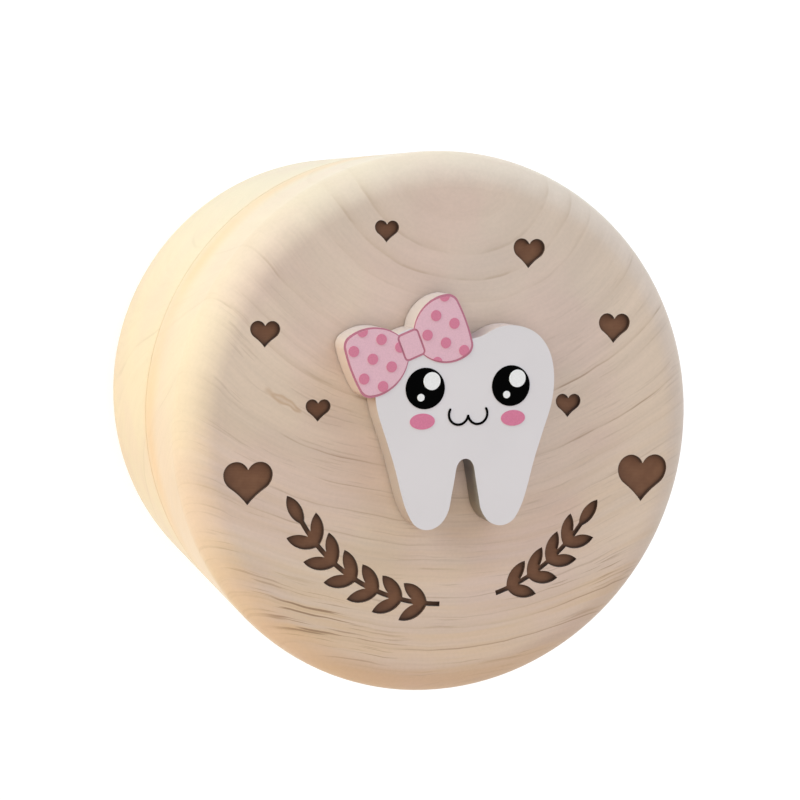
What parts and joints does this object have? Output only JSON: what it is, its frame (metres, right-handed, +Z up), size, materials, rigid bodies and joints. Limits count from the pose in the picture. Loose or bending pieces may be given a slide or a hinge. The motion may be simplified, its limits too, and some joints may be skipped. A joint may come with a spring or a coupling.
{
  "type": "tooth box",
  "caption": "Round turned wooden keepsake box for milk teeth: a deep cup, a lift-off lid with a plug, engraved hearts and leaf sprigs, and a tooth-shaped plaque with a bow glued on top.",
  "frame": {"origin": "centre of the flat base, on the surface that the box stands on", "axes": "+Z up along the turned axis, +Y towards the top of the picture on the lid, +X to the picture's right, so the front is -Y"},
  "size_m": [0.06, 0.06, 0.0483],
  "materials": {
    "turned_wood": "fine sanded, unvarnished pale hardwood, engraving burnt brown",
    "white_painted_wood": "matt white paint on a thin cut plate",
    "clear_glue": "thin clear glue film",
    "pale_pink_ink": "flat print",
    "rose_ink": "flat print",
    "black_ink": "flat print",
    "white_ink": "flat print"
  },
  "bodies": {
    "cup": {"cup": "turned_wood"},
    "lid": {"lid": "turned_wood", "plaque_glue": "clear_glue", "tooth_plaque": "white_painted_wood", "bow_print": "pale_pink_ink", "bow_line_print": "rose_ink", "bow_dot_print": "rose_ink", "eye_print": "black_ink", "eye_glint_print": "white_ink", "mouth_print": "black_ink", "cheek_print": "rose_ink"}
  },
  "joints": [
    {"name": "lid_lift", "type": "slide", "parent": "cup", "child": "lid", "axis": [0, 0, 1], "range_m": [0, 0.05]}
  ]
}
